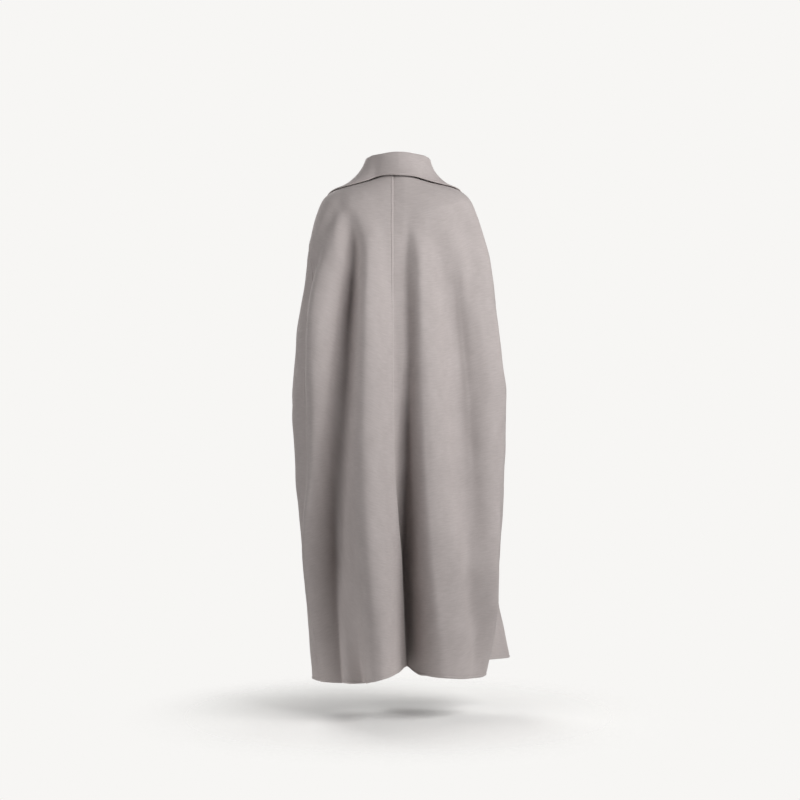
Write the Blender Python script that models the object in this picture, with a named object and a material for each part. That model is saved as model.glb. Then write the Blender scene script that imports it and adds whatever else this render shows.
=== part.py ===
"""Long wool cape coat, in the hollow form it takes when it is worn.

Metres, +Z up. The front faces -Y and the wearer's left is +X. The origin is the middle of the neck opening,
level with the edge of the turned-down collar at the nape, where the wearer carries the coat. The coat is five
pieces of double-faced wool: two back panels, two fronts and a collar. Every panel is a stretch of one closed
surface that drops from the neckline to the hem, so that neighbours follow each other's folds.
"""

import math
from collections import namedtuple

import bpy
import numpy as np

# Cloth and seams
WALL = 0.0025  # thickness of the double-faced cloth
SEAM_GAP = 0.0007  # left between the two cloths of a lapped seam
SEAM_LAP = 0.008  # width of a sewn lap
VENT_LAP = 0.045  # width that the right back runs under the left back in the centre vent
FRONT_LAP = 0.080  # width that the left front runs over the right front
VENT_DOWN = 0.620  # the centre back seam is open below this level
SIDE_VENT_DOWN = 1.080  # the side seams are open below this level
SIDE_VENT_LAP = 0.050  # width that each front runs under the back in the side vents
VENT_SLOPE = 0.050  # height in which a vent's underlap comes out to its full width
VENT_SLACK = (1.4, 3.4)  # how much further in a vent's underlap hangs, at the line and at its free edge
FRONT_LIFT = 0.040  # how much higher than the back hem the right front's hem hangs at the side vent

FOLD_TOP = 0.050  # level at which most folds start
FOLD_EASE = 0.080  # height in which a fold comes in
FOLD_RUN = 0.600  # height in which a deep fold turns inwards

NECK_Z = 0.020  # height of the neckline at the centre back
LENGTH = 1.394  # centre back length from the neckline to the hem

# Sections through the body, each a ring that starts `down` below the neckline at the centre back. The ring
# dips to side_z at the arms and front_z at the centre front. left, right, back and front are its half widths
# and depths, and square is the power of its rounded outline: 2 is an ellipse, and more has fuller corners.
Section = namedtuple("Section", "down side_z front_z left right back front square")
SECTIONS = (
    Section(0.000, 0.002, -0.070, 0.085, 0.081, 0.066, 0.078, 2.0),
    Section(0.045, -0.008, -0.100, 0.132, 0.126, 0.098, 0.100, 2.2),
    Section(0.085, -0.022, -0.132, 0.175, 0.167, 0.121, 0.118, 2.4),
    Section(0.125, -0.046, -0.164, 0.208, 0.197, 0.139, 0.132, 2.6),
    Section(0.175, -0.090, -0.204, 0.229, 0.218, 0.155, 0.145, 2.8),
    Section(0.245, -0.168, -0.266, 0.250, 0.241, 0.168, 0.156, 3.0),
    Section(0.345, -0.290, -0.356, 0.267, 0.266, 0.177, 0.165, 3.1),
    Section(0.465, -0.430, -0.466, 0.286, 0.281, 0.182, 0.170, 3.2),
    Section(0.625, -0.600, -0.620, 0.299, 0.300, 0.186, 0.176, 3.2),
    Section(0.785, -0.765, -0.780, 0.294, 0.298, 0.189, 0.181, 3.1),
    Section(0.985, -0.965, -0.975, 0.276, 0.288, 0.192, 0.186, 3.0),
    Section(1.185, -1.170, -1.165, 0.258, 0.270, 0.196, 0.191, 2.8),
    Section(LENGTH, -1.384, -1.350, 0.244, 0.246, 0.202, 0.196, 2.6),
)

# Seam lines: how far round the ring each seam lies. centre is in metres from the centre back; left and right
# are angles in plan from the centre back, in degrees.
SeamLine = namedtuple("SeamLine", "down centre left right")
SEAM_LINES = (
    SeamLine(0.000, 0.014, 100, -98),
    SeamLine(0.125, 0.014, 98, -97),
    SeamLine(0.205, 0.014, 90, -95),
    SeamLine(0.255, 0.014, 76, -94),
    SeamLine(0.310, 0.014, 67.5, -93),
    SeamLine(0.370, 0.014, 65, -93),
    SeamLine(0.480, 0.014, 62.5, -93),
    SeamLine(0.600, 0.014, 62.5, -93),
    SeamLine(0.680, 0.0125, 61, -92),
    SeamLine(0.800, 0.010, 61.5, -91),
    SeamLine(0.950, 0.001, 62.5, -89),
    SeamLine(1.080, -0.009, 65.5, -87),
    SeamLine(1.250, -0.016, 66.5, -82),
    SeamLine(LENGTH, -0.023, 68, -79),
)

# Folds. Each starts at the level `top` and runs down through six levels. `at` is its place round the ring in
# metres, positive to the wearer's left, from the centre back, the centre front or the right seam. `depth` is
# how far it sinks, and a ridge is a negative depth. `left` and `right` are the widths of its flanks at the
# yoke, the elbow and the hem. `bottom` is the radius at which a pinched fold turns, or 0 for a plain wave.
# `lift` raises the hem, and `cloth` is the panel it is in, if it isn't in all of them.
FOLD_LEVELS = (0.130, 0.250, 0.480, 0.800, 1.100, LENGTH)  # yoke, shoulder blade, elbow, thigh, knee, hem
FLANK_LEVELS = (0.130, 0.480, LENGTH)
Fold = namedtuple("Fold", "name start top at depth left right bottom lift cloth")
FOLDS = (
    Fold("left_shoulder_drag", "back", FOLD_TOP, (0.173, 0.215, 0.300, 0.300, 0.300, 0.300),
         (0.005, 0.009, 0.000, 0.000, -0.001, 0.003),
         (0.042, 0.045, 0.045), (0.042, 0.045, 0.045), 0.020, 0.000, "all"),
    Fold("left_arm_ridge", "back", FOLD_TOP, (0.131, 0.194, 0.207, 0.214, 0.251, 0.246),
         (-0.002, -0.020, -0.081, -0.039, -0.024, 0.007),
         (0.052, 0.056, 0.056), (0.084, 0.094, 0.064), 0, 0.000, "all"),
    Fold("left_blade_trough", "back", FOLD_TOP, (0.145, 0.126, 0.157, 0.185, 0.213, 0.232),
         (0.001, 0.028, 0.030, 0.052, 0.073, 0.067),
         (0.045, 0.042, 0.061), (0.040, 0.061, 0.155), 0.024, 0.004, "all"),
    Fold("left_calf_trough", "back", 0.500, (0.116, 0.116, 0.111, 0.124, 0.115, 0.110),
         (0.000, 0.000, -0.007, 0.003, 0.031, 0.079),
         (0.047, 0.053, 0.120), (0.060, 0.052, 0.052), 0.014, 0.000, "all"),
    Fold("left_roll", "back", FOLD_TOP, (0.079, 0.080, 0.083, 0.088, 0.074, 0.042),
         (-0.001, -0.026, -0.063, -0.064, -0.075, -0.036),
         (0.055, 0.060, 0.117), (0.050, 0.081, 0.111), 0, 0.000, "all"),
    Fold("centre_trough", "back", FOLD_TOP, (-0.028, -0.020, -0.025, -0.021, -0.015, -0.022),
         (0.004, 0.023, 0.026, 0.068, 0.123, 0.176),
         (0.079, 0.067, 0.067), (0.056, 0.040, 0.116), 0.012, 0.018, "all"),
    Fold("left_vent_lip", "back", VENT_DOWN, (-0.028, -0.020, -0.025, -0.021, -0.015, -0.022),
         (0.000, 0.000, 0.000, -0.031, -0.055, -0.049),
         (0.079, 0.067, 0.067), (0.056, 0.040, 0.116), 0.012, 0.000, "back_left"),
    Fold("right_roll", "back", FOLD_TOP, (-0.071, -0.108, -0.137, -0.159, -0.173, -0.187),
         (0.002, 0.028, 0.038, 0.036, 0.001, -0.010),
         (0.049, 0.073, 0.067), (0.050, 0.069, 0.076), 0, 0.000, "all"),
    Fold("right_blade_trough", "back", FOLD_TOP, (-0.124, -0.164, -0.199, -0.222, -0.235, -0.221),
         (0.003, 0.042, 0.071, 0.056, 0.022, 0.007),
         (0.062, 0.102, 0.091), (0.086, 0.097, 0.040), 0.036, 0.000, "all"),
    Fold("right_elbow_ridge", "back", FOLD_TOP, (-0.182, -0.243, -0.275, -0.289, -0.258, -0.306),
         (0.000, 0.040, 0.037, 0.014, -0.038, -0.006),
         (0.082, 0.077, 0.072), (0.062, 0.076, 0.040), 0, 0.000, "all"),
    Fold("left_side_trough", "back", FOLD_TOP, (0.330, 0.340, 0.370, 0.390, 0.380, 0.370),
         (0.000, 0.004, 0.010, 0.016, 0.018, 0.016),
         (0.060, 0.060, 0.070), (0.060, 0.060, 0.060), 0, 0.000, "all"),
    Fold("front_left_trough", "front", FOLD_TOP, (0.110, 0.115, 0.125, 0.135, 0.140, 0.145),
         (0.000, 0.012, 0.036, 0.052, 0.060, 0.064),
         (0.050, 0.080, 0.100), (0.040, 0.060, 0.080), 0.014, 0.006, "all"),
    Fold("front_left_roll", "front", FOLD_TOP, (0.040, 0.045, 0.050, 0.055, 0.060, 0.065),
         (0.000, -0.005, -0.010, -0.014, -0.016, -0.018),
         (0.060, 0.060, 0.060), (0.060, 0.060, 0.070), 0, 0.000, "all"),
    Fold("front_left_side_trough", "front", FOLD_TOP, (0.230, 0.240, 0.255, 0.260, 0.255, 0.250),
         (0.000, 0.006, 0.022, 0.030, 0.034, 0.036),
         (0.045, 0.050, 0.060), (0.050, 0.050, 0.055), 0.014, 0.000, "all"),
    Fold("front_right_trough", "front", FOLD_TOP, (-0.100, -0.110, -0.130, -0.140, -0.150, -0.155),
         (0.000, 0.014, 0.038, 0.056, 0.068, 0.076),
         (0.040, 0.060, 0.080), (0.050, 0.080, 0.110), 0.014, 0.006, "all"),
    Fold("front_right_roll", "front", FOLD_TOP, (-0.190, -0.195, -0.205, -0.215, -0.225, -0.235),
         (0.000, -0.006, -0.014, -0.016, -0.016, -0.014),
         (0.050, 0.060, 0.070), (0.055, 0.060, 0.070), 0, 0.000, "all"),
    Fold("side_vent_tuck", "right", SIDE_VENT_DOWN, (0.030, 0.030, 0.030, 0.030, 0.030, 0.030),
         (0.000, 0.000, 0.000, 0.000, 0.004, 0.046),
         (0.090, 0.090, 0.090), (0.055, 0.055, 0.055), 0, 0.000, "front"),
    Fold("side_vent_swing", "right", SIDE_VENT_DOWN, (-0.090, -0.090, -0.090, -0.090, -0.090, -0.085),
         (0.000, 0.000, 0.000, 0.000, -0.003, -0.068),
         (0.085, 0.085, 0.085), (0.130, 0.130, 0.130), 0, 0.000, "front"),
)

# The hem is cut in a gentle curve, so that it hangs level: how much higher than a level ring it lies at each
# place round the back, in metres from the centre back.
HEM_CURVE = (
    (-0.294, 0.007), (-0.178, 0.010), (-0.129, 0.012), (-0.088, 0.007), (-0.060, -0.006), (-0.034, -0.018),
    (-0.022, 0.000), (0.000, 0.003), (0.028, 0.013), (0.061, 0.007), (0.122, -0.014), (0.196, -0.024),
    (0.251, -0.016), (0.290, -0.004),
)
HEM_CURVE_DOWN = 1.000  # level at which the curve starts

# Collar: one piece with a stand inside the neckline and a leaf turned down over the shoulders. `angle` is
# taken in plan from the centre back, out and up place the fold line from the neckline, and fan is the angle
# at which the leaf's edge lies below it. edge_left and edge_right are the rings that the edge lies over on
# either side, lift is its height off the cloth there, and bow is how far the leaf arches.
CollarLine = namedtuple("CollarLine", "angle out up fan edge_left edge_right lift bow")
COLLAR_LINES = (
    CollarLine(0, 0.014, 0.0565, 0, 0.013, 0.013, 0.006, 0.008),
    CollarLine(30, 0.011, 0.0580, 30, 0.011, 0.015, 0.006, 0.004),
    CollarLine(45, 0.008, 0.0610, 44, 0.019, 0.026, 0.005, -0.002),
    CollarLine(60, 0.006, 0.0640, 58, 0.043, 0.043, 0.004, -0.010),
    CollarLine(75, 0.005, 0.0640, 73, 0.077, 0.067, 0.003, -0.024),
    CollarLine(85, 0.004, 0.0640, 83, 0.094, 0.081, 0.002, -0.032),
    CollarLine(110, 0.004, 0.0580, 104, 0.124, 0.106, 0.002, -0.024),
    CollarLine(135, 0.008, 0.0460, 127, 0.150, 0.138, 0.003, -0.002),
    CollarLine(158, 0.012, 0.0320, 147, 0.180, 0.172, 0.004, 0.004),
    CollarLine(178, 0.013, 0.0230, 160, 0.206, 0.200, 0.004, 0.006),
)
COLLAR_END = 2.0  # degrees that each end of the collar stops short of the centre front
STAND_LAP = 0.009  # depth of the stand inside the neckline
NECK_EASE = 0.0008  # clearance of the stand from the neckline, over the seam gap
FOLD_RADIUS = 0.004  # of the turned edge along the collar's fold line
LEAF_GAP = 0.003  # least clearance between the leaf and the shoulders
SHOULDER_LEVELS = 32  # rings compared with the leaf, from the neckline to SHOULDER_DOWN
SHOULDER_DOWN = 0.300

# Mesh density
ROWS = 20
BACK_COLUMNS, FRONT_COLUMNS = 26, 20
LAP_COLUMNS = {"centre": 2, "left": 2, "right": 2, "closure": 4}
STAND_ROWS, TURN_ROWS, LEAF_ROWS = 2, 3, 6
COLLAR_COLUMNS = 23
RING_SAMPLES = 721
NORMAL_STEP = 0.0005

WOOL = {"color": (0.484, 0.440, 0.431, 1.0), "roughness": 0.92, "metallic": 0.0}


def smooth(knots, values, at):
    """Monotone cubic through a column of a table."""
    knots, values, at = (np.asarray(item, float) for item in (knots, values, at))
    step, rise = np.diff(knots), np.diff(values)
    chord = rise / step
    before, after = chord[:-1], chord[1:]
    first, second = 2 * step[1:] + step[:-1], step[1:] + 2 * step[:-1]
    same = before * after > 0
    safe_before, safe_after = np.where(same, before, 1.0), np.where(same, after, 1.0)
    inner = np.where(same, (first + second) / (first / safe_before + second / safe_after), 0.0)
    slope = np.concatenate([[chord[0]], inner, [chord[-1]]])
    span = np.clip(np.searchsorted(knots, at) - 1, 0, len(step) - 1)
    share = (np.clip(at, knots[0], knots[-1]) - knots[span]) / step[span]
    rest = 1 - share
    return (values[span] * (1 + 2 * share) * rest**2 + values[span + 1] * (3 - 2 * share) * share**2
            + step[span] * (slope[span] * share * rest**2 - slope[span + 1] * share**2 * rest))


def column(table, name, down):
    return smooth([row.down for row in table], [getattr(row, name) for row in table], down)


def ease(value, low, high):
    share = np.clip((value - low) / (high - low), 0, 1)
    return share * share * (3 - 2 * share)


def outline(down, angle):
    """Plan of one ring without folds: its points, and the outward direction at each."""
    sine, cosine = np.sin(angle), np.cos(angle)
    width = np.where(sine > 0, column(SECTIONS, "left", down), column(SECTIONS, "right", down))
    depth = np.where(cosine > 0, column(SECTIONS, "back", down), column(SECTIONS, "front", down))
    power = column(SECTIONS, "square", down)
    reach = (np.abs(sine / width) ** power + np.abs(cosine / depth) ** power) ** (-1 / power)
    x, y = reach * sine, reach * cosine
    out_x = np.sign(x) * np.abs(x / width) ** (power - 1) / width
    out_y = np.sign(y) * np.abs(y / depth) ** (power - 1) / depth
    size = np.hypot(out_x, out_y)
    return x, y, out_x / size, out_y / size


class Ring:
    """One section, with distances round it from the centre back and from the centre front."""

    def __init__(self, down):
        self.down = float(down)
        self.angle = np.linspace(-math.pi, math.pi, RING_SAMPLES)
        x, y, _, _ = outline(self.down, self.angle)
        run = np.concatenate([[0.0], np.cumsum(np.hypot(np.diff(x), np.diff(y)))])
        self.run = run - np.interp(0.0, self.angle, run)

    def from_back(self, angle):
        turned = (np.asarray(angle, float) + math.pi) % (2 * math.pi) - math.pi
        return np.interp(turned, self.angle, self.run)

    def from_front(self, angle):
        run = self.from_back(angle)
        return np.where(run > 0, self.run[-1] - run, self.run[0] - run)

    def angle_at(self, start, run):
        """Angle of a point that lies `run` from the centre back or front, positive to the wearer's left."""
        if start == "back":
            return np.interp(run, self.run, self.angle)
        run = np.asarray(run, float)
        left = np.interp(self.run[-1] - run, self.run, self.angle)
        right = np.interp(self.run[0] - run, self.run, self.angle) + 2 * math.pi
        return np.where(run > 0, left, right)


def fold_profile(across, left, right, bottom):
    """Share of a fold's depth at a distance across it."""
    width = np.where(across > 0, left, right)
    share = np.clip(np.abs(across) / width, 0, 1)
    if not bottom:
        return 0.5 + 0.5 * np.cos(math.pi * share)
    soft = bottom / width
    climb = (np.hypot(share, soft) - soft) / (np.hypot(1, soft) - soft)
    return (1 - climb) ** 2


def sink(ring, angle, cloth):
    """How far the folds press the cloth in at each point of a ring, and how far they lift it."""
    from_back = ring.from_back(angle)
    runs = {
        "back": from_back,
        "front": ring.from_front(angle),
        "right": from_back - edge_run(ring, "right", "back"),
    }
    pressed, lifted = np.zeros_like(angle), np.zeros_like(angle)
    for fold in FOLDS:
        if fold.cloth != "all" and not cloth.startswith(fold.cloth):
            continue
        if ring.down <= fold.top:
            continue
        middle = smooth(FOLD_LEVELS, fold.at, ring.down)
        depth = smooth(FOLD_LEVELS, fold.depth, ring.down) * ease(ring.down, fold.top, fold.top + FOLD_EASE)
        left, right = (smooth(FLANK_LEVELS, flank, ring.down) for flank in (fold.left, fold.right))
        profile = fold_profile(runs[fold.start] - middle, left, right, fold.bottom)
        pressed += depth * profile
        lifted += fold.lift * ease(ring.down, FOLD_LEVELS[3], LENGTH) * profile
    return pressed, lifted + pressed**2 / (2 * FOLD_RUN)


def cape_points(down, angle, cloth):
    """Points of the middle of the cloth on one ring."""
    ring = Ring(down)
    x, y, out_x, out_y = outline(ring.down, angle)
    pressed, lifted = sink(ring, angle, cloth)
    cosine = np.cos(angle)
    side_z = column(SECTIONS, "side_z", ring.down)
    back_drop = NECK_Z - ring.down - side_z
    front_drop = column(SECTIONS, "front_z", ring.down) - side_z
    z = side_z + np.where(cosine > 0, back_drop, front_drop) * cosine**2 + lifted
    places, rises = zip(*HEM_CURVE)
    curve = smooth(places, rises, ring.from_back(angle)) * ease(cosine, -0.2, 0.1)
    z = z + curve * ease(ring.down, HEM_CURVE_DOWN, LENGTH)
    if cloth.startswith("front"):
        z = z + FRONT_LIFT * ease(ring.down, SIDE_VENT_DOWN, LENGTH) * ease(-np.sin(angle), 0.2, 1.0)
    return np.stack([x - pressed * out_x, y - pressed * out_y, z], axis=-1)


def cape_normals(down, angle, cloth):
    """Outward directions of the folded surface."""
    high = min(max(down - NORMAL_STEP, 0), LENGTH - 2 * NORMAL_STEP)
    fall = cape_points(high + 2 * NORMAL_STEP, angle, cloth) - cape_points(high, angle, cloth)
    turn = NORMAL_STEP / 0.2
    across = cape_points(down, angle + turn, cloth) - cape_points(down, angle - turn, cloth)
    normal = np.cross(across, fall)
    return normal / np.linalg.norm(normal, axis=-1, keepdims=True)


def edge_run(ring, edge, start):
    """Place of a seam or opening line on a ring, from the centre back or the centre front."""
    if edge == "centre":
        return float(column(SEAM_LINES, "centre", ring.down))
    if edge == "closure":
        return -FRONT_LAP / 2
    angle = math.radians(float(column(SEAM_LINES, edge, ring.down)))
    return float(ring.from_back(angle) if start == "back" else ring.from_front(angle))


def vent_open(down, edge):
    """0 where an edge is sewn, 1 below the slope at the top of its vent."""
    if edge == "closure":
        return 0.0
    top = VENT_DOWN if edge == "centre" else SIDE_VENT_DOWN
    return float(ease(down, top, top + VENT_SLOPE))


def lap_width(down, edge):
    """How far the lower cloth runs under the upper one at a seam line."""
    if edge == "closure":
        return FRONT_LAP
    width = VENT_LAP if edge == "centre" else SIDE_VENT_LAP
    return SEAM_LAP + (width - SEAM_LAP) * vent_open(down, edge)


# A panel runs from its first edge to its last, to the wearer's left. `under` marks the edges that tuck under.
Panel = namedtuple("Panel", "name start first last under columns")
PANELS = (
    Panel("back_left", "back", "centre", "left", (), BACK_COLUMNS),
    Panel("back_right", "back", "right", "centre", ("centre",), BACK_COLUMNS),
    Panel("front_left", "front", "closure", "left", ("left",), FRONT_COLUMNS),
    Panel("front_right", "front", "right", "closure", ("right", "closure"), FRONT_COLUMNS),
)


def stations(panel, down):
    """Distances round one ring of a panel's columns, and how far each is tucked under its neighbour (0 to 1).

    Both cloths of a lap have columns at the same places, so that their faces stay parallel.
    """
    ring = Ring(down)
    first, last = (edge_run(ring, edge, panel.start) for edge in (panel.first, panel.last))
    # inwards: the way from each edge into the panel
    runs, tucks = [], []
    for edge, place, inwards in ((panel.first, first, 1), (panel.last, last, -1)):
        lap = lap_width(down, edge)
        away = -lap if edge in panel.under else 0.0
        steps = np.linspace(0, lap, LAP_COLUMNS[edge] + 1)
        runs.append(place + inwards * (away + steps))
        slack = VENT_SLACK[1] + (VENT_SLACK[0] - VENT_SLACK[1]) * steps / lap
        tuck = 1 + slack * vent_open(down, edge)
        tucks.append(tuck if edge in panel.under else np.zeros(len(steps)))
    body_columns = panel.columns - LAP_COLUMNS[panel.first] - LAP_COLUMNS[panel.last]
    body = np.linspace(runs[0][-1], runs[1][-1], body_columns)[1:-1]
    run = np.concatenate([runs[0], body, runs[1][::-1]])
    tuck = np.concatenate([tucks[0], np.zeros(len(body)), tucks[1]])
    return ring, run, tuck


def row_levels():
    """Levels of the mesh rows, closer together over the shoulders."""
    even = np.linspace(0, 1, ROWS)
    return LENGTH * (0.62 * even + 0.38 * even**2)


def panel_grid(panel):
    """Middle surface of a panel, as rows of points."""
    rows = []
    for down in row_levels():
        ring, run, tuck = stations(panel, down)
        angle = ring.angle_at(panel.start, run)
        points = cape_points(down, angle, panel.name)
        normals = cape_normals(down, angle, panel.name)
        rows.append(points - normals * (tuck * (WALL + SEAM_GAP))[:, None])
    grid = np.array(rows)
    return grid if panel.start == "back" else grid[:, ::-1]


def unit(vector):
    return vector / np.linalg.norm(vector)


def collar_profile(degrees):
    """One section of the collar's middle surface: up the stand, round the fold and down the leaf."""
    knots = [row.angle for row in COLLAR_LINES]
    line = CollarLine(*(float(smooth(knots, [getattr(row, name) for row in COLLAR_LINES], abs(degrees)))
                        for name in CollarLine._fields))
    side = math.copysign(1, degrees)
    angle = np.array([math.radians(degrees)])
    edge_angle = np.array([math.radians(side * line.fan)])
    edge_down = line.edge_left if side > 0 else line.edge_right
    up = np.array([0, 0, 1])

    neck = cape_points(0.0, angle, "collar")[0]
    outward = unit(cape_normals(0.0, angle, "collar")[0] * (1, 1, 0))
    lean = math.hypot(*cape_normals(0.0, angle, "collar")[0][:2])
    # The stand clears the neckline where two cloths lap there.
    base = neck - outward * (WALL / 2 + lean * (1.5 * WALL + SEAM_GAP) + SEAM_GAP + NECK_EASE)
    foot = base - up * STAND_LAP
    turn_centre = neck + outward * line.out + up * (line.up - FOLD_RADIUS)
    edge_normal = cape_normals(edge_down, edge_angle, "collar")[0]
    edge = cape_points(edge_down, edge_angle, "collar")[0] + edge_normal * (line.lift + WALL)

    stand_top, leaf_top = turn_centre - outward * FOLD_RADIUS, turn_centre + outward * FOLD_RADIUS
    profile = [foot]
    profile += [base + (stand_top - base) * share for share in np.linspace(0, 1, STAND_ROWS + 1)]
    for turn in np.linspace(math.pi, 0, TURN_ROWS + 2)[1:-1]:
        profile.append(turn_centre + FOLD_RADIUS * (outward * math.cos(turn) + up * math.sin(turn)))
    arch = (leaf_top + edge) / 2 + unit(edge_normal + outward) * line.bow
    for share in np.linspace(0, 1, LEAF_ROWS + 1):
        profile.append(leaf_top * (1 - share) ** 2 + arch * 2 * share * (1 - share) + edge * share**2)
    return profile


def height_on_shoulders(points):
    """Lowest height at which a cloth clears the cape under each point."""
    angle = np.arctan2(points[..., 0], points[..., 1]).ravel()
    reach = np.hypot(points[..., 0], points[..., 1]).ravel()
    levels = np.linspace(0, SHOULDER_DOWN, SHOULDER_LEVELS)
    rings = np.array([cape_points(down, angle, "collar") for down in levels])
    radii = np.hypot(rings[..., 0], rings[..., 1])
    lowest = []
    for spot, ring_radii, ring_heights in zip(reach, radii.T, rings[..., 2].T):
        slope = np.interp(spot, ring_radii, np.gradient(ring_heights, ring_radii))
        on_cape = np.interp(spot, ring_radii, ring_heights) + (WALL + LEAF_GAP) * math.hypot(1, slope)
        lowest.append(on_cape if spot > ring_radii[0] else -math.inf)
    return np.reshape(lowest, points.shape[:-1])


def collar_grid():
    end = 180 - COLLAR_END
    profiles = [collar_profile(degrees) for degrees in np.linspace(-end, end, 2 * COLLAR_COLUMNS - 1)]
    grid = np.array(profiles).transpose(1, 0, 2)
    leaf = grid[STAND_ROWS + TURN_ROWS + 2:]
    leaf[..., 2] = np.maximum(leaf[..., 2], height_on_shoulders(leaf))
    return grid


def sheet(name, grid, material):
    """A closed wall of cloth about a grid of points whose columns go round to the wearer's left.

    Every square is cut along the same diagonal, so that the facets of two lapped cloths stay parallel.
    """
    rows, across, _ = grid.shape
    index = np.arange(rows * across).reshape(rows, across)
    above, above_next, below, below_next = index[:-1, :-1], index[:-1, 1:], index[1:, :-1], index[1:, 1:]
    halves = [(above, below, below_next), (above, below_next, above_next)]
    faces = np.concatenate([np.stack([corner.ravel() for corner in half], axis=1) for half in halves])
    mesh = bpy.data.meshes.new(name)
    mesh.from_pydata(grid.reshape(-1, 3).tolist(), [], faces.tolist())
    mesh.materials.append(material)
    mesh.shade_smooth()
    piece = bpy.data.objects.new(name, mesh)
    bpy.context.scene.collection.objects.link(piece)
    wall = piece.modifiers.new("wall", "SOLIDIFY")
    wall.thickness = WALL
    wall.offset = 0.0
    wall.use_rim = True
    return piece


def wool_material():
    material = bpy.data.materials.new("double_faced_wool")
    material.use_nodes = True
    shader = material.node_tree.nodes["Principled BSDF"]
    shader.inputs["Base Color"].default_value = WOOL["color"]
    shader.inputs["Roughness"].default_value = WOOL["roughness"]
    shader.inputs["Metallic"].default_value = WOOL["metallic"]
    return material


def build():
    for old in list(bpy.data.objects):
        bpy.data.objects.remove(old)
    wool = wool_material()
    for panel in PANELS:
        sheet(panel.name, panel_grid(panel), wool)
    sheet("collar", collar_grid(), wool)


build()
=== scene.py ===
"""Long wool cape coat, hollow as it is worn, on a pale studio floor.

Metres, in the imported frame: +Z up, the front faces -Y and the wearer's left is +X. The coat is five
pieces of double-faced wool, and each is a closed wall of cloth with rounded edges.
"""

import math
from collections import namedtuple

import bpy
import numpy as np
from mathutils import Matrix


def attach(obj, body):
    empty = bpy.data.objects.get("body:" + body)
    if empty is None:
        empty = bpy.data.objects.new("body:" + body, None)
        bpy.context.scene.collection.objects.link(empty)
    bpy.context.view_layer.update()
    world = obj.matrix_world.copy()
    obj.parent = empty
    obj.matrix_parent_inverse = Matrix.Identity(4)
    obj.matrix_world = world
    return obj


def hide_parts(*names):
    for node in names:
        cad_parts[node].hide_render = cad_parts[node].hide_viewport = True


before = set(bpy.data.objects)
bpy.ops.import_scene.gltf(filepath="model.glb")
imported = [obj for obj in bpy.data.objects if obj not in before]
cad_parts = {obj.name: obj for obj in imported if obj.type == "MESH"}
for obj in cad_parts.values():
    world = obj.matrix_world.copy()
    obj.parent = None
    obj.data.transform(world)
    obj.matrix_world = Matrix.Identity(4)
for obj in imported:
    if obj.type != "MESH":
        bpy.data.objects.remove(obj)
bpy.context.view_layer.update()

# ----------------------------------------------------------------------------------------------------------
# The panels. Two backs and two fronts of unlined double-faced wool, cut full length. At a seam one edge is
# turned in and felled down over the next cloth by hand: left back over right back, and each back over its
# front. The left front laps over the right one, and from the tops of the vents down the laps hang free.
WOOL_DARK, WOOL_LIGHT = "#a69d9b", "#c1b9b7"
WOOL_SHEEN = "#e6dfdc"
# Patterns of the nap: size across and down in mm, the noise's detail and roughness, share in the colour.
Nap = namedtuple("Nap", "across down detail rough share")
NAPS = {
    "fibre": Nap(1.6, 1.1, 3.0, 0.65, 1.00),  # tufts: the real fibres are 0.02 mm thick, too fine to show
    "weft": Nap(26.0, 3.2, 3.0, 0.60, 0.90),  # streaks along the weft: the real threads lie 0.7 mm apart
    "cloud": Nap(34.0, 60.0, 2.0, 0.50, 0.45),  # patches that lie a little differently after brushing
}
NAP_ROUGH = (0.80, 0.98)  # roughness of the cloth, which goes with the patches
TWILL_MM = 1.78  # pitch of the real twill line, which is too fine to show
TWILL_COARSER = 12  # times that it is drawn coarser, so that it shows
TWILL_LEAN = 62  # degrees between it and the warp
FIBRE_BUMP, TWILL_BUMP = 0.00055, 0.00020  # heights in metres
WAVE_TURN = 20  # radians that a wave texture of scale 1 runs through in a metre


def linear(hex_colour):
    """A colour from sRGB hex."""
    channels = [int(hex_colour[place:place + 2], 16) / 255 for place in (1, 3, 5)]
    bent = [c / 12.92 if c <= 0.04045 else ((c + 0.055) / 1.055) ** 2.4 for c in channels]
    return (*bent, 1.0)


def add(tree, kind, settings=None, links=None):
    """Add a node, with its properties and input values, and the sockets that feed its inputs."""
    node = tree.nodes.new(kind)
    for name, value in (settings or {}).items():
        if isinstance(name, str) and hasattr(node, name):
            setattr(node, name, value)
        else:
            node.inputs[name].default_value = value
    for name, source in (links or {}).items():
        tree.links.new(source, node.inputs[name])
    return node


def new_material(name):
    """A material whose tree is empty, and that tree."""
    material = bpy.data.materials.new(name)
    material.use_nodes = True
    material.node_tree.nodes.clear()
    return material, material.node_tree


def new_object(name, data):
    """An object in the scene."""
    made = bpy.data.objects.new(name, data)
    bpy.context.scene.collection.objects.link(made)
    return made


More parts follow.
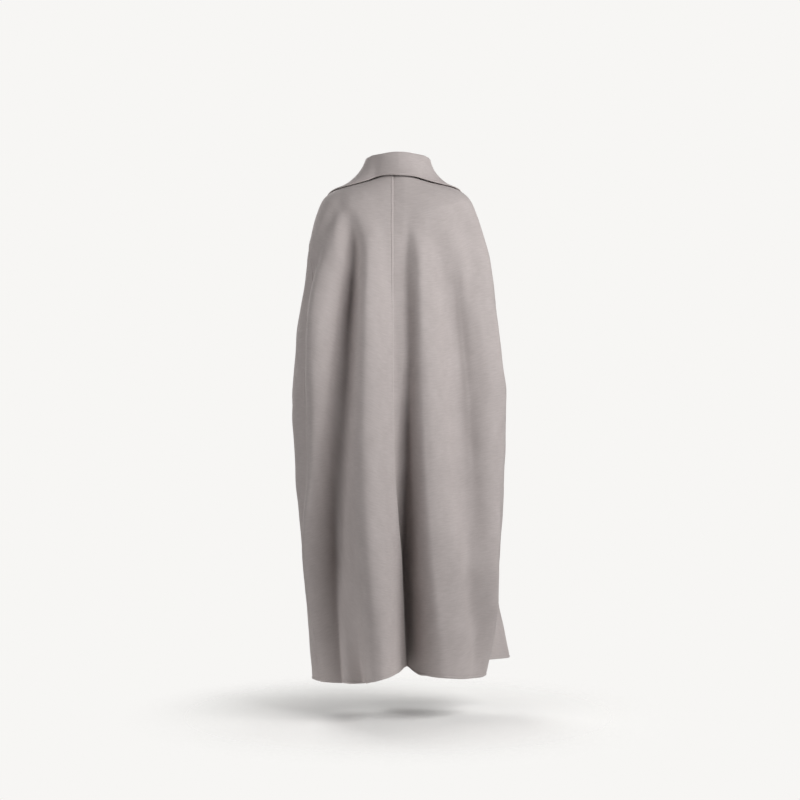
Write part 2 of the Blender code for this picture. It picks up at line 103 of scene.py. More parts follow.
def wool_material():
    """Double-faced wool: two fine cloths woven face to face, then fulled and brushed on both sides.

    The nap hides the weave. The eye gets a matt face, faint streaks along the weft and a soft sheen where
    the cloth turns away.
    """
    material, tree = new_material("double_faced_wool")
    place = add(tree, "ShaderNodeTexCoord").outputs["UV"]
    patterns, mixed = {}, None
    for name, nap in NAPS.items():
        spread = add(tree, "ShaderNodeMapping", {"Scale": (1000 / nap.across, 1000 / nap.down, 1.0)},
                     {"Vector": place})
        noise = add(tree, "ShaderNodeTexNoise",
                    {"Scale": 1.0, "Detail": nap.detail, "Roughness": nap.rough},
                    {"Vector": spread.outputs["Vector"]})
        patterns[name] = noise.outputs["Fac"]
        centred = add(tree, "ShaderNodeMath", {"operation": "SUBTRACT", 1: 0.5}, {0: patterns[name]})
        moved = add(tree, "ShaderNodeMath", {"operation": "MULTIPLY", 1: nap.share},
                    {0: centred.outputs[0]})
        feed = {0: moved.outputs[0]} if mixed is None else {0: moved.outputs[0], 1: mixed}
        mixed = add(tree, "ShaderNodeMath", {"operation": "ADD", 1: 0.5}, feed).outputs[0]
    colour = add(tree, "ShaderNodeMix", {"data_type": "RGBA", 6: linear(WOOL_DARK), 7: linear(WOOL_LIGHT)},
                 {0: mixed})
    rough = add(tree, "ShaderNodeMapRange", {"To Min": NAP_ROUGH[0], "To Max": NAP_ROUGH[1]},
                {"Value": patterns["cloud"]})

    turned = add(tree, "ShaderNodeMapping", {"Rotation": (0, 0, math.radians(TWILL_LEAN))},
                 {"Vector": place})
    lines_in_a_metre = 1000 / (TWILL_MM * TWILL_COARSER)
    twill = add(tree, "ShaderNodeTexWave",
                {"Scale": 2 * math.pi * lines_in_a_metre / WAVE_TURN, "Distortion": 1.5, "Detail": 2.0},
                {"Vector": turned.outputs["Vector"]})
    ribbed = add(tree, "ShaderNodeBump", {"Strength": 0.6, "Distance": TWILL_BUMP},
                 {"Height": twill.outputs["Fac"]})
    napped = add(tree, "ShaderNodeBump", {"Strength": 0.8, "Distance": FIBRE_BUMP},
                 {"Height": patterns["fibre"], "Normal": ribbed.outputs["Normal"]})
    shader = add(tree, "ShaderNodeBsdfPrincipled",
                 {"Metallic": 0.0, "IOR": 1.5, "Specular IOR Level": 0.12, "Sheen Weight": 0.30,
                  "Sheen Roughness": 0.45, "Sheen Tint": linear(WOOL_SHEEN)},
                 {"Base Color": colour.outputs[2], "Roughness": rough.outputs[0],
                  "Normal": napped.outputs["Normal"]})
    add(tree, "ShaderNodeOutputMaterial", links={"Surface": shader.outputs["BSDF"]})
    return material


wool = wool_material()

# The panels are stretches of one surface, so that neighbours follow each other's folds. It lies on the
# shoulders, falls over the elbows and closes in a little to the hem. Cut wider than the body, it drops in
# deep soft folds from the shoulder blades, the deepest at the centre back.
WALL = 0.0025  # thickness of the cloth
SEAM_GAP = 0.0007  # left between the two cloths of a lapped seam
NECK_Z = 0.020  # height of the neckline at the centre back
LENGTH = 1.394  # centre back length from the neckline to the hem
VENT_DOWN = 0.620  # the centre back seam is open below this level
SIDE_VENT_DOWN = 1.080  # the side seams are open below this level
FRONT_LIFT = 0.040  # how much higher than the back hem the right front's hem hangs at the side vent
FRONT_LAP = 0.080  # width that the left front runs over the right front
FOLD_TOP = 0.050  # level at which most folds start
FOLD_EASE = 0.080  # height in which a fold comes in
FOLD_RUN = 0.600  # height in which a deep fold turns inwards
LIFT_DOWN = 0.800  # level below which folds lift the hem

# Rings go round the coat, `down` below the neckline at the centre back. A ring dips to side_z at the arms
# and front_z at the centre front. left, right, back and front are its half widths and depths, and square is
# the power of its rounded outline: 2 is an ellipse, and more has fuller corners.
Section = namedtuple("Section", "down side_z front_z left right back front square")
SECTIONS = (
    Section(0.000, 0.002, -0.070, 0.085, 0.081, 0.066, 0.078, 2.0),
    Section(0.045, -0.008, -0.100, 0.132, 0.126, 0.098, 0.100, 2.2),
    Section(0.085, -0.022, -0.132, 0.175, 0.167, 0.121, 0.118, 2.4),
    Section(0.125, -0.046, -0.164, 0.208, 0.197, 0.139, 0.132, 2.6),
    Section(0.175, -0.090, -0.204, 0.229, 0.218, 0.155, 0.145, 2.8),
    Section(0.245, -0.168, -0.266, 0.250, 0.241, 0.168, 0.156, 3.0),
    Section(0.345, -0.290, -0.356, 0.267, 0.266, 0.177, 0.165, 3.1),
    Section(0.465, -0.430, -0.466, 0.286, 0.281, 0.182, 0.170, 3.2),
    Section(0.625, -0.600, -0.620, 0.299, 0.300, 0.186, 0.176, 3.2),
    Section(0.785, -0.765, -0.780, 0.294, 0.298, 0.189, 0.181, 3.1),
    Section(0.985, -0.965, -0.975, 0.276, 0.288, 0.192, 0.186, 3.0),
    Section(1.185, -1.170, -1.165, 0.258, 0.270, 0.196, 0.191, 2.8),
    Section(LENGTH, -1.384, -1.350, 0.244, 0.246, 0.202, 0.196, 2.6),
)

# Where the seams lie: centre is in metres round the ring from the centre back, left and right are angles in
# plan from the centre back, in degrees.
SeamLine = namedtuple("SeamLine", "down centre left right")
SEAM_LINES = (
    SeamLine(0.000, 0.014, 100, -98),
    SeamLine(0.125, 0.014, 98, -97),
    SeamLine(0.205, 0.014, 90, -95),
    SeamLine(0.255, 0.014, 76, -94),
    SeamLine(0.310, 0.014, 67.5, -93),
    SeamLine(0.370, 0.014, 65, -93),
    SeamLine(0.480, 0.014, 62.5, -93),
    SeamLine(0.600, 0.014, 62.5, -93),
    SeamLine(0.680, 0.0125, 61, -92),
    SeamLine(0.800, 0.010, 61.5, -91),
    SeamLine(0.950, 0.001, 62.5, -89),
    SeamLine(1.080, -0.009, 65.5, -87),
    SeamLine(1.250, -0.016, 66.5, -82),
    SeamLine(LENGTH, -0.023, 68, -79),
)

# Folds. Each starts at the level `top` and runs down through six levels. `at` is its place round the ring
# in metres, positive to the wearer's left, from the centre back, the centre front or the right seam.
# `depth` is how far it sinks, and a ridge is a negative depth. `left` and `right` are the widths of its
# flanks at the yoke, the elbow and the hem. `bottom` is the radius at which a pinched fold turns, or 0 for
# a plain wave. `lift` is how far it raises the hem, and `cloth` names the panels it is in.
FOLD_LEVELS = (0.130, 0.250, 0.480, 0.800, 1.100, LENGTH)  # yoke, shoulder blade, elbow, thigh, knee, hem
FLANK_LEVELS = (0.130, 0.480, LENGTH)  # yoke, elbow, hem
Fold = namedtuple("Fold", "name start top at depth left right bottom lift cloth", defaults=("all",))
FOLDS = (
    Fold("left_shoulder_drag", "back", FOLD_TOP, (0.173, 0.215, 0.300, 0.300, 0.300, 0.300),
         (0.005, 0.009, 0.000, 0.000, -0.001, 0.003),
         (0.042, 0.045, 0.045), (0.042, 0.045, 0.045), 0.020, 0.000),
    Fold("left_arm_ridge", "back", FOLD_TOP, (0.131, 0.194, 0.207, 0.214, 0.251, 0.246),
         (-0.002, -0.020, -0.081, -0.039, -0.024, 0.007),
         (0.052, 0.056, 0.056), (0.084, 0.094, 0.064), 0, 0.000),
    Fold("left_blade_trough", "back", FOLD_TOP, (0.145, 0.126, 0.157, 0.185, 0.213, 0.232),
         (0.001, 0.028, 0.030, 0.052, 0.073, 0.067),
         (0.045, 0.042, 0.061), (0.040, 0.061, 0.155), 0.024, 0.004),
    Fold("left_calf_trough", "back", 0.500, (0.116, 0.116, 0.111, 0.124, 0.115, 0.110),
         (0.000, 0.000, -0.007, 0.003, 0.031, 0.079),
         (0.047, 0.053, 0.120), (0.060, 0.052, 0.052), 0.014, 0.000),
    Fold("left_roll", "back", FOLD_TOP, (0.079, 0.080, 0.083, 0.088, 0.074, 0.042),
         (-0.001, -0.026, -0.063, -0.064, -0.075, -0.036),
         (0.055, 0.060, 0.117), (0.050, 0.081, 0.111), 0, 0.000),
    Fold("centre_trough", "back", FOLD_TOP, (-0.028, -0.020, -0.025, -0.021, -0.015, -0.022),
         (0.004, 0.023, 0.026, 0.068, 0.123, 0.176),
         (0.079, 0.067, 0.067), (0.056, 0.040, 0.116), 0.012, 0.018),
    Fold("left_vent_lip", "back", VENT_DOWN, (-0.028, -0.020, -0.025, -0.021, -0.015, -0.022),
         (0.000, 0.000, 0.000, -0.031, -0.055, -0.049),
         (0.079, 0.067, 0.067), (0.056, 0.040, 0.116), 0.012, 0.000, "back_left"),
    Fold("right_vent_drop", "back", VENT_DOWN, (-0.022, -0.022, -0.022, -0.022, -0.022, -0.022),
         (0.000, 0.000, 0.000, 0.000, 0.000, 0.000),
         (0.040, 0.040, 0.040), (0.045, 0.045, 0.045), 0, -0.018, "back_right"),
    Fold("right_roll", "back", FOLD_TOP, (-0.071, -0.108, -0.137, -0.159, -0.173, -0.187),
         (0.002, 0.028, 0.038, 0.036, 0.001, -0.010),
         (0.049, 0.073, 0.067), (0.050, 0.069, 0.076), 0, 0.000),
    Fold("right_blade_trough", "back", FOLD_TOP, (-0.124, -0.164, -0.199, -0.222, -0.235, -0.221),
         (0.003, 0.042, 0.071, 0.056, 0.022, 0.007),
         (0.062, 0.102, 0.091), (0.086, 0.097, 0.040), 0.036, 0.000),
    Fold("right_elbow_ridge", "back", FOLD_TOP, (-0.182, -0.243, -0.275, -0.289, -0.258, -0.306),
         (0.000, 0.040, 0.037, 0.014, -0.038, 0.002),
         (0.082, 0.077, 0.072), (0.062, 0.076, 0.040), 0, 0.000),
    Fold("left_side_trough", "back", FOLD_TOP, (0.330, 0.340, 0.370, 0.390, 0.380, 0.370),
         (0.000, 0.004, 0.010, 0.016, 0.018, 0.016),
         (0.060, 0.060, 0.070), (0.060, 0.060, 0.060), 0, 0.000),
    Fold("front_left_trough", "front", FOLD_TOP, (0.110, 0.115, 0.125, 0.135, 0.140, 0.145),
         (0.000, 0.012, 0.036, 0.052, 0.060, 0.064),
         (0.050, 0.080, 0.100), (0.040, 0.060, 0.080), 0.014, 0.006),
    Fold("front_left_roll", "front", FOLD_TOP, (0.040, 0.045, 0.050, 0.055, 0.060, 0.065),
         (0.000, -0.005, -0.010, -0.014, -0.016, -0.018),
         (0.060, 0.060, 0.060), (0.060, 0.060, 0.070), 0, 0.000),
    Fold("front_left_side_trough", "front", FOLD_TOP, (0.230, 0.240, 0.255, 0.260, 0.255, 0.250),
         (0.000, 0.006, 0.022, 0.030, 0.034, 0.036),
         (0.045, 0.050, 0.060), (0.050, 0.050, 0.055), 0.014, 0.000),
    Fold("front_right_trough", "front", FOLD_TOP, (-0.100, -0.110, -0.130, -0.140, -0.150, -0.155),
         (0.000, 0.014, 0.038, 0.056, 0.068, 0.076),
         (0.040, 0.060, 0.080), (0.050, 0.080, 0.110), 0.014, 0.006),
    Fold("front_right_roll", "front", FOLD_TOP, (-0.190, -0.195, -0.205, -0.215, -0.225, -0.235),
         (0.000, -0.006, -0.014, -0.016, -0.016, -0.014),
         (0.050, 0.060, 0.070), (0.055, 0.060, 0.070), 0, 0.000),
    Fold("side_vent_tuck", "right", SIDE_VENT_DOWN, (0.030, 0.030, 0.030, 0.030, 0.030, 0.030),
         (0.000, 0.000, 0.000, 0.000, 0.004, 0.046),
         (0.090, 0.090, 0.090), (0.055, 0.055, 0.055), 0, 0.000, "front"),
    Fold("side_vent_swing", "right", SIDE_VENT_DOWN, (-0.090, -0.090, -0.090, -0.090, -0.090, -0.085),
         (0.000, 0.000, 0.000, 0.000, -0.003, -0.068),
         (0.085, 0.085, 0.085), (0.130, 0.130, 0.130), 0, 0.000, "front"),
)

# The hem hangs in a gentle curve. At each place round the back, in metres from the centre back, it lies this
# much higher than a level ring.
HEM_CURVE = (
    (-0.294, 0.007), (-0.178, 0.010), (-0.129, 0.012), (-0.088, 0.007), (-0.060, -0.006), (-0.034, -0.003),
    (-0.020, -0.002), (-0.002, 0.005), (0.010, 0.012), (0.028, 0.014), (0.060, 0.007), (0.079, 0.001),
    (0.100, -0.011), (0.119, -0.017), (0.152, -0.016), (0.185, -0.015), (0.237, -0.020), (0.250, -0.016),
    (0.267, -0.009), (0.290, -0.002),
)
HEM_CURVE_DOWN = 1.000  # level at which the curve starts
HEM_CURVE_SIDE = (-0.2, 0.1)  # where it fades out towards the front, as the cosine of the angle
FRONT_LIFT_SIDE = (0.2, 1.0)  # where the right front's lift comes in towards the side, as the sine
RING_SAMPLES = 721  # points on a ring
UNEVEN_WAVES, UNEVEN_SEED = 26, 11  # the cloth is never quite smooth: slow waves in all directions
UNEVEN_LENGTH = (0.060, 0.240)  # metres from crest to crest
UNEVEN_HEIGHT = 0.00032  # of each wave
UNEVEN_DOWN = (0.100, 0.250)  # levels between which they come in


def smooth(knots, values, at):
    """Monotone cubic through a column of a table."""
    knots, values, at = (np.asarray(item, float) for item in (knots, values, at))
    step, rise = np.diff(knots), np.diff(values)
    chord = rise / step
    before, after = chord[:-1], chord[1:]
    first, second = 2 * step[1:] + step[:-1], step[1:] + 2 * step[:-1]
    same = before * after > 0
    safe_before, safe_after = np.where(same, before, 1.0), np.where(same, after, 1.0)
    inner = np.where(same, (first + second) / (first / safe_before + second / safe_after), 0.0)
    slope = np.concatenate([[chord[0]], inner, [chord[-1]]])
    span = np.clip(np.searchsorted(knots, at) - 1, 0, len(step) - 1)
    share = (np.clip(at, knots[0], knots[-1]) - knots[span]) / step[span]
    rest = 1 - share
    return (values[span] * (1 + 2 * share) * rest**2 + values[span + 1] * (3 - 2 * share) * share**2
            + step[span] * (slope[span] * share * rest**2 - slope[span + 1] * share**2 * rest))


def column(table, name, down):
    """One column of a table at a level."""
    return smooth([row.down for row in table], [getattr(row, name) for row in table], down)


def ease(value, low, high):
    """0 below low, 1 above high, and a smooth climb between them."""
    share = np.clip((value - low) / (high - low), 0, 1)
    return share * share * (3 - 2 * share)


def unit(vector):
    """A vector's direction."""
    return vector / np.linalg.norm(vector, axis=-1, keepdims=True)


def outline(down, angle):
    """Plan of one ring without folds: its points, and the outward direction at each."""
    sine, cosine = np.sin(angle), np.cos(angle)
    width = np.where(sine > 0, column(SECTIONS, "left", down), column(SECTIONS, "right", down))
    depth = np.where(cosine > 0, column(SECTIONS, "back", down), column(SECTIONS, "front", down))
    power = column(SECTIONS, "square", down)
    reach = (np.abs(sine / width) ** power + np.abs(cosine / depth) ** power) ** (-1 / power)
    x, y = reach * sine, reach * cosine
    out_x = np.sign(x) * np.abs(x / width) ** (power - 1) / width
    out_y = np.sign(y) * np.abs(y / depth) ** (power - 1) / depth
    size = np.hypot(out_x, out_y)
    return x, y, out_x / size, out_y / size


class Ring:
    """One section, with distances round it from the centre back and from the centre front."""

    def __init__(self, down):
        self.down = float(down)
        self.angle = np.linspace(-math.pi, math.pi, RING_SAMPLES)
        x, y, _, _ = outline(self.down, self.angle)
        run = np.concatenate([[0.0], np.cumsum(np.hypot(np.diff(x), np.diff(y)))])
        self.run = run - np.interp(0.0, self.angle, run)

    def from_back(self, angle):
        """Distance round the ring from the centre back, positive to the wearer's left."""
        turned = (np.asarray(angle, float) + math.pi) % (2 * math.pi) - math.pi
        return np.interp(turned, self.angle, self.run)

    def from_front(self, angle):
        """Distance round the ring from the centre front, positive to the wearer's left."""
        run = self.from_back(angle)
        return np.where(run > 0, self.run[-1] - run, self.run[0] - run)

    def angle_at(self, start, run):
        """Angle of a point that lies `run` from the centre back or front, positive to the wearer's left."""
        if start == "back":
            return np.interp(run, self.run, self.angle)
        run = np.asarray(run, float)
        left = np.interp(self.run[-1] - run, self.run, self.angle)
        right = np.interp(self.run[0] - run, self.run, self.angle) + 2 * math.pi
        return np.where(run > 0, left, right)

    def edge(self, name, start):
        """Place of a seam or opening line, from the centre back or the centre front."""
        if name == "centre":
            return float(column(SEAM_LINES, "centre", self.down))
        if name == "closure":
            return -FRONT_LAP / 2
        angle = math.radians(float(column(SEAM_LINES, name, self.down)))
        return float(self.from_back(angle) if start == "back" else self.from_front(angle))


def fold_profile(across, left, right, bottom):
    """Share of a fold's depth at a distance across it."""
    width = np.where(across > 0, left, right)
    share = np.clip(np.abs(across) / width, 0, 1)
    if not bottom:
        return 0.5 + 0.5 * np.cos(math.pi * share)
    soft = bottom / width
    climb = (np.hypot(share, soft) - soft) / (np.hypot(1, soft) - soft)
    return (1 - climb) ** 2


def sink(ring, angle, cloth):
    """How far the folds press the cloth in at each point of a ring, and how far they lift it."""
    from_back = ring.from_back(angle)
    from_right_seam = from_back - ring.edge("right", "back")
    runs = {"back": from_back, "front": ring.from_front(angle), "right": from_right_seam}
    pressed, lifted = np.zeros_like(angle), np.zeros_like(angle)
    for fold in FOLDS:
        if fold.cloth != "all" and not cloth.startswith(fold.cloth):
            continue
        if ring.down <= fold.top:
            continue
        middle = smooth(FOLD_LEVELS, fold.at, ring.down)
        depth = smooth(FOLD_LEVELS, fold.depth, ring.down) * ease(ring.down, fold.top, fold.top + FOLD_EASE)
        left, right = (smooth(FLANK_LEVELS, flank, ring.down) for flank in (fold.left, fold.right))
        profile = fold_profile(runs[fold.start] - middle, left, right, fold.bottom)
        pressed += depth * profile
        lifted += fold.lift * ease(ring.down, LIFT_DOWN, LENGTH) * profile
    return pressed, lifted + pressed**2 / (2 * FOLD_RUN)


def unevenness(points):
    """Height of slow waves over the cloth, the same for all that lies at one place."""
    random = np.random.default_rng(UNEVEN_SEED)
    direction = unit(random.normal(size=(UNEVEN_WAVES, 3)))
    length = random.uniform(*UNEVEN_LENGTH, UNEVEN_WAVES)
    start = random.uniform(0, 2 * math.pi, UNEVEN_WAVES)
    phase = points @ (direction * (2 * math.pi / length)[:, None]).T + start
    return UNEVEN_HEIGHT * np.sin(phase).sum(axis=-1)


def cape_points(down, angle, cloth, ring=None):
    """Points of the middle of the cloth on one ring."""
    ring = ring or Ring(down)
    x, y, out_x, out_y = outline(ring.down, angle)
    pressed, lifted = sink(ring, angle, cloth)
    cosine = np.cos(angle)
    side_z = column(SECTIONS, "side_z", ring.down)
    back_drop = NECK_Z - ring.down - side_z
    front_drop = column(SECTIONS, "front_z", ring.down) - side_z
    z = side_z + np.where(cosine > 0, back_drop, front_drop) * cosine**2 + lifted
    places, rises = zip(*HEM_CURVE)
    curve = smooth(places, rises, ring.from_back(angle)) * ease(cosine, *HEM_CURVE_SIDE)
    z = z + curve * ease(ring.down, HEM_CURVE_DOWN, LENGTH)
    if cloth.startswith("front"):
        below_vent = ease(ring.down, SIDE_VENT_DOWN, LENGTH)
        z = z + FRONT_LIFT * below_vent * ease(-np.sin(angle), *FRONT_LIFT_SIDE)
    waves = unevenness(np.stack([x, y, z], axis=-1)) * ease(ring.down, *UNEVEN_DOWN)
    pressed = pressed + waves
    return np.stack([x - pressed * out_x, y - pressed * out_y, z], axis=-1)


# Laps, the mesh's spacing, and the finished edges, which are turned in, felled and pressed.
SEAM_LAP = 0.008  # width of a sewn lap
VENT_LAP = 0.045  # width that the right back runs under the left back in the centre vent
SIDE_VENT_LAP = 0.050  # width that each front runs under the back in the side vents
VENT_SLOPE = 0.050  # height in which a vent's underlap comes out to its full width
TUCK_RUN = 0.034  # width in which the lower cloth comes up to level beside a seam
COLUMN_STEP, ROW_STEP = 0.0056, 0.0046  # mesh spacing away from the edges
FELL = 0.0070  # distance of the felling line from a finished edge
FELL_WIDTH, FELL_DEPTH = 0.0012, 0.00060  # half width and depth of the groove it pulls in
INNER_GROOVE = 0.5  # share of that depth on the inner face
EDGE_PUFF = 0.00120  # how much fuller the turned-in edge is beside the felling line
EDGE_FILL = 8  # power of its rounding: a higher one drops to the line more steeply
PUCKER, PUCKER_LENGTH = 0.00012, 0.021  # height and length of the ripples along a felled edge
PUCKER_REACH = 0.012  # distance in which they fade
PUCKER_DRIFT, PUCKER_DRIFT_RATE = 1.7, 37  # how unevenly they are spaced
# Distances of the mesh's lines from a finished edge, given in millimetres.
EDGE_STEPS = np.array((0, 0.15, 0.5, 1.25, 2.6, 4.2, 5.4, 6.3, 7.0, 7.7, 8.6, 10.2, 13, 17, 22, 27)) / 1000
FELL_STEP = int(np.argmin(np.abs(EDGE_STEPS - FELL)))

# A panel runs from its first edge to its last, to the wearer's left. `start` is where its rings are
# measured from, `under` names the edges that run under a neighbour, and `cut` is the flat piece of cloth.
Panel = namedtuple("Panel", "name start first last under cut hangs_from")
Cut = namedtuple("Cut", "width length area")
PANELS = (
    Panel("back_left", "back", "centre", "left", (),
          Cut(0.470, 1.575, 0.575), ("collar",)),
    Panel("back_right", "back", "right", "centre", ("centre",),
          Cut(0.635, 1.485, 0.712), ("collar",)),
    Panel("front_left", "front", "closure", "left", ("left",),
          Cut(0.690, 1.590, 0.812), ("back_left",)),
    Panel("front_right", "front", "right", "closure", ("right", "closure"),
          Cut(0.665, 1.465, 0.651), ("back_right",)),
)


def lap_width(down, edge):
    """How far the lower cloth runs under the upper one at a seam line."""
    if edge == "closure":
        return FRONT_LAP
    top, width = (VENT_DOWN, VENT_LAP) if edge == "centre" else (SIDE_VENT_DOWN, SIDE_VENT_LAP)
    return SEAM_LAP + (width - SEAM_LAP) * float(ease(down, top, top + VENT_SLOPE))


def between(length, step):
    """Distances along a length: close together at both ends, and about a step apart between them."""
    margin = EDGE_STEPS[-1]
    count = int((length - 2 * margin) / step)
    body = np.linspace(margin, length - margin, count + 2)[1:-1]
    return np.concatenate([EDGE_STEPS, body, length - EDGE_STEPS[::-1]])


def panel_grid(panel):
    """Middle surface of a panel as rows of points. An edge that runs under a neighbour is set further in."""
    levels = between(LENGTH, ROW_STEP)
    rings = [Ring(down) for down in levels]
    cuts = []
    for ring in rings:
        first, last = ring.edge(panel.first, panel.start), ring.edge(panel.last, panel.start)
        first_lap = lap_width(ring.down, panel.first) if panel.first in panel.under else 0.0
        last_lap = lap_width(ring.down, panel.last) if panel.last in panel.under else 0.0
        cuts.append((first - first_lap, last + last_lap, first, last))
    widest = max(cut[1] - cut[0] for cut in cuts)
    pattern = between(widest, COLUMN_STEP)
    margin = EDGE_STEPS[-1]
    rows = []
    for ring, (low, high, first, last) in zip(rings, cuts):
        # The two edges keep their close columns, and the columns between them share out what is left.
        body = (pattern - margin) / (widest - 2 * margin) * (high - low - 2 * margin) + margin
        near_last = np.where(pattern > widest - margin, pattern - widest + high - low, body)
        places = np.where(pattern < margin, pattern, near_last)
        run = low + places
        tuck = np.zeros(len(run))
        if panel.first in panel.under:
            tuck = np.maximum(tuck, 1 - ease(run - first, 0, TUCK_RUN))
        if panel.last in panel.under:
            tuck = np.maximum(tuck, 1 - ease(last - run, 0, TUCK_RUN))
        points = cape_points(ring.down, ring.angle_at(panel.start, run), panel.name, ring)
        rows.append((points, tuck))
    points, tuck = (np.array(item) for item in zip(*rows))
    if panel.start == "front":
        points, tuck = points[:, ::-1], tuck[:, ::-1]
    return points - outward(points) * (tuck * (WALL + SEAM_GAP))[..., None]


def outward(points):
    """Directions square to a grid whose columns go round to the wearer's left and whose rows go down."""
    across = np.gradient(points, axis=1)
    fall = np.gradient(points, axis=0)
    return unit(np.cross(across, fall))


def along(points, axis):
    """Distances along the rows or columns of a grid."""
    steps = np.linalg.norm(np.diff(points, axis=axis), axis=-1)
    start = np.zeros_like(np.take(steps, [0], axis=axis))
    return np.concatenate([start, np.cumsum(steps, axis=axis)], axis=axis)


def edge_shape(distance, length):
    """Outer height of the cloth at a distance from a finished edge: a full edge, then the groove."""
    share = np.clip(distance / FELL, 0, 1)
    puff = EDGE_PUFF * share * (1 - share**EDGE_FILL)
    groove = FELL_DEPTH * np.exp(-((distance - FELL) / FELL_WIDTH) ** 2)
    drift = PUCKER_DRIFT * np.sin(length * PUCKER_DRIFT_RATE)
    ripple = PUCKER * np.sin(2 * math.pi * length / PUCKER_LENGTH + drift)
    return puff - groove + ripple * np.exp(-distance / PUCKER_REACH)


def rim(distance):
    """Share of the wall's thickness at a distance from a cut edge."""
    inside = np.clip(distance / (WALL / 2), 0, 1)
    return np.sqrt(1 - (1 - inside) ** 2)


def cloth_wall(name, points, finished):
    """A closed wall of cloth about a grid. finished names its sides with a felled edge."""
    across, fall = along(points, 1), along(points, 0)
    distance = {
        "first": across, "last": across[:, -1:] - across, "top": fall, "foot": fall[-1:] - fall,
    }
    normal = outward(points)
    edges = np.minimum.reduce([rim(item) for item in distance.values()])
    outer = np.full(edges.shape, WALL / 2)
    inner = np.full(edges.shape, WALL / 2)
    for side in finished:
        lengthways = fall if side in ("first", "last") else across
        shape = edge_shape(distance[side], lengthways)
        outer = outer + shape
        inner = inner + np.minimum(shape, 0) * INNER_GROOVE
    face = points + normal * (outer * edges)[..., None]
    back = points - normal * (inner * edges)[..., None]

    rows, columns, _ = points.shape
    front_index = np.arange(rows * columns).reshape(rows, columns)
    back_index = front_index.copy()
    hidden = (rows - 2) * (columns - 2)
    back_index[1:-1, 1:-1] = rows * columns + np.arange(hidden).reshape(rows - 2, columns - 2)
    vertices = np.concatenate([face.reshape(-1, 3), back[1:-1, 1:-1].reshape(-1, 3)])
    faces = []
    for index, turn in ((front_index, 1), (back_index, -1)):
        corners = (index[:-1, :-1], index[:-1, 1:], index[1:, 1:], index[1:, :-1])[::turn]
        faces.append(np.stack([corner.ravel() for corner in corners], axis=1))
    faces = np.concatenate(faces)

    mesh = bpy.data.meshes.new(name)
    mesh.from_pydata(vertices.tolist(), [], faces.tolist())
    place = np.empty((len(vertices), 2))
    place[front_index.ravel()] = np.stack([across.ravel(), fall.ravel()], axis=1)
    place[back_index.ravel()] = place[front_index.ravel()]
    layer = mesh.uv_layers.new(name="cloth")
    layer.data.foreach_set("uv", place[faces.ravel()].astype("f").ravel())
    mesh.materials.append(wool)
    mesh.shade_smooth()
    return new_object(name, mesh), face


pieces, faces_of = {}, {}
for panel in PANELS:
    grid = panel_grid(panel)
    edges = (panel.last, panel.first) if panel.start == "front" else (panel.first, panel.last)
    # An edge that lies under another cloth is pressed flat, so that it doesn't show through.
    felled = [side for side, edge in zip(("first", "last"), edges) if edge not in panel.under] + ["foot"]
    piece, face = cloth_wall(panel.name + "_cloth", grid, felled)
    pieces[panel.name], faces_of[panel.name] = piece, face
    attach(piece, "root")
    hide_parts(panel.name)

# ----------------------------------------------------------------------------------------------------------
# The collar. One piece of the same cloth, in two parts that run into each other: a stand, sewn round the
# inside of the neckline, and a leaf that turns over and lies on the shoulders, with a point at each end
# over the fronts.

# `angle` is taken in plan from the centre back, out and up place the fold line from the neckline, and fan
# is the angle at which the leaf's edge lies below it. edge_left and edge_right are the levels that the edge
# lies at on either side, lift is its height off the cloth there, and bow is how far the leaf arches.
CollarLine = namedtuple("CollarLine", "angle out up fan edge_left edge_right lift bow")
COLLAR_LINES = (
    CollarLine(0, 0.014, 0.0565, 0, 0.013, 0.013, 0.006, 0.008),
    CollarLine(30, 0.011, 0.0580, 30, 0.011, 0.015, 0.006, 0.004),
    CollarLine(45, 0.008, 0.0610, 44, 0.013, 0.021, 0.005, -0.002),
    CollarLine(60, 0.006, 0.0640, 58, 0.036, 0.040, 0.004, -0.010),
    CollarLine(75, 0.005, 0.0640, 73, 0.077, 0.067, 0.003, -0.024),
    CollarLine(85, 0.004, 0.0640, 83, 0.094, 0.081, 0.002, -0.032),
    CollarLine(110, 0.004, 0.0580, 104, 0.124, 0.106, 0.002, -0.024),
    CollarLine(135, 0.008, 0.0460, 127, 0.150, 0.138, 0.003, -0.002),
    CollarLine(158, 0.012, 0.0320, 147, 0.180, 0.172, 0.004, 0.004),
    CollarLine(178, 0.013, 0.0230, 160, 0.206, 0.200, 0.004, 0.006),
)
COLLAR_END = 2.0  # degrees that each end of the collar stops short of the centre front
COLLAR_COLUMNS = 300  # of its mesh
STAND_LAP = 0.009  # depth of the stand inside the neckline
NECK_EASE = 0.0008  # clearance of the stand from the neckline, over the seam gap
NECK_RADIUS = 0.080  # of the collar at its ends
FOLD_RADIUS = 0.004  # of the turned edge along the collar's fold line
LEAF_GAP = 0.0012  # least clearance between the leaf and the shoulders
LEAF_DEPTH = 0.120  # of the leaf at the sides
SHOULDER_LEVELS, SHOULDER_DOWN = 60, 0.300  # rings compared with the leaf
STAND_ROWS, TURN_ROWS, LEAF_ROWS = 14, 9, 44  # of its mesh
NORMAL_STEP, NORMAL_REACH = 0.0005, 0.2  # step for directions on the surface, and how far out it is taken


def cape_normals(down, angle, cloth):
    """Outward directions of the folded surface of the panels."""
    high = min(max(down - NORMAL_STEP, 0), LENGTH - 2 * NORMAL_STEP)
    fall = cape_points(high + 2 * NORMAL_STEP, angle, cloth) - cape_points(high, angle, cloth)
    turn = NORMAL_STEP / NORMAL_REACH
    across = cape_points(down, angle + turn, cloth) - cape_points(down, angle - turn, cloth)
    return unit(np.cross(across, fall))


